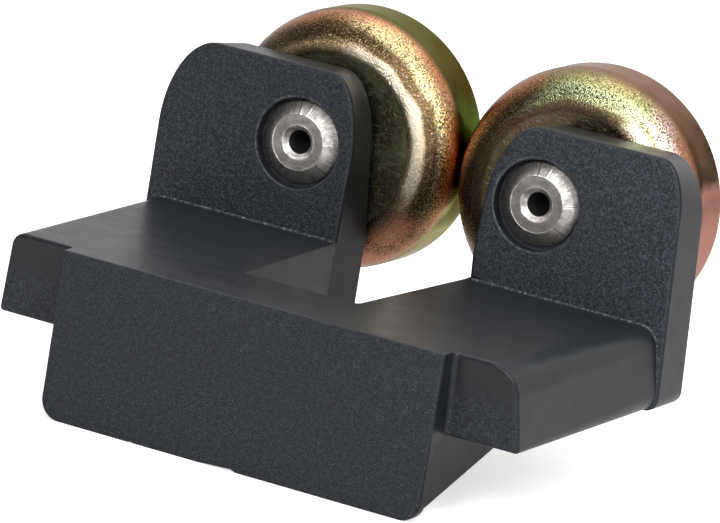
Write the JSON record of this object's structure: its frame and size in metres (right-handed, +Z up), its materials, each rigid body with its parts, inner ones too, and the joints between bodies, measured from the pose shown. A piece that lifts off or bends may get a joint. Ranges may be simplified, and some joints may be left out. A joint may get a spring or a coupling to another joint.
{
  "type": "sliding door roller",
  "caption": "Door roller carriage: a moulded block that seats on a sliding door, with plain steel wheels side by side on riveted axles behind it.",
  "frame": {"origin": "on the door face, midway along it, level with the underside of the base", "axes": "+X along the door, +Y from the door face back to the wheels, +Z up"},
  "size_m": [0.0854, 0.0682, 0.0554],
  "materials": {
    "carriage_plastic": "charcoal moulded plastic, fine spark-eroded grain on the faces, smoother satin on the platform",
    "yellow_zinc": "pressed steel, yellow iridescent zinc passivation",
    "turned_steel": "turned bright steel with concentric tool marks",
    "plated_steel": "bright zinc plate",
    "bearing_steel": "ground bearing steel",
    "ball_steel": "polished balls",
    "cage_nylon": "natural nylon"
  },
  "bodies": {
    "carriage_frame": {"carriage": "carriage_plastic", "rivet_axle_left": "turned_steel", "spacer_washer_left": "plated_steel", "tail_washer_left": "plated_steel", "bearing_inner_ring_left": "bearing_steel", "rivet_axle_right": "turned_steel", "spacer_washer_right": "plated_steel", "tail_washer_right": "plated_steel", "bearing_inner_ring_right": "bearing_steel"},
    "wheel_left": {"wheel_front_shell_left": "yellow_zinc", "wheel_rear_shell_left": "yellow_zinc", "bearing_outer_ring_left": "bearing_steel", "bearing_front_shield_left": "plated_steel", "bearing_rear_shield_left": "plated_steel"},
    "ball_set_left": {"bearing_balls_left": "ball_steel", "ball_cage_left": "cage_nylon"},
    "wheel_right": {"wheel_front_shell_right": "yellow_zinc", "wheel_rear_shell_right": "yellow_zinc", "bearing_outer_ring_right": "bearing_steel", "bearing_front_shield_right": "plated_steel", "bearing_rear_shield_right": "plated_steel"},
    "ball_set_right": {"bearing_balls_right": "ball_steel", "ball_cage_right": "cage_nylon"}
  },
  "joints": [
    {"name": "wheel_left_spin", "type": "hinge", "parent": "carriage_frame", "child": "wheel_left", "pos_m": [-0.0194, 0.0613, 0.02395], "axis": [0, 1, 0], "continuous": true},
    {"name": "ball_set_left_orbit", "type": "hinge", "parent": "carriage_frame", "child": "ball_set_left", "pos_m": [-0.0194, 0.0613, 0.02395], "axis": [0, 1, 0], "continuous": true},
    {"name": "wheel_right_spin", "type": "hinge", "parent": "carriage_frame", "child": "wheel_right", "pos_m": [0.0194, 0.0613, 0.02395], "axis": [0, 1, 0], "continuous": true},
    {"name": "ball_set_right_orbit", "type": "hinge", "parent": "carriage_frame", "child": "ball_set_right", "pos_m": [0.0194, 0.0613, 0.02395], "axis": [0, 1, 0], "continuous": true}
  ],
  "couplings": [
    {"joint": "ball_set_left_orbit", "follows": "wheel_left_spin", "ratio": 0.63227},
    {"joint": "ball_set_right_orbit", "follows": "wheel_right_spin", "ratio": 0.63227}
  ]
}
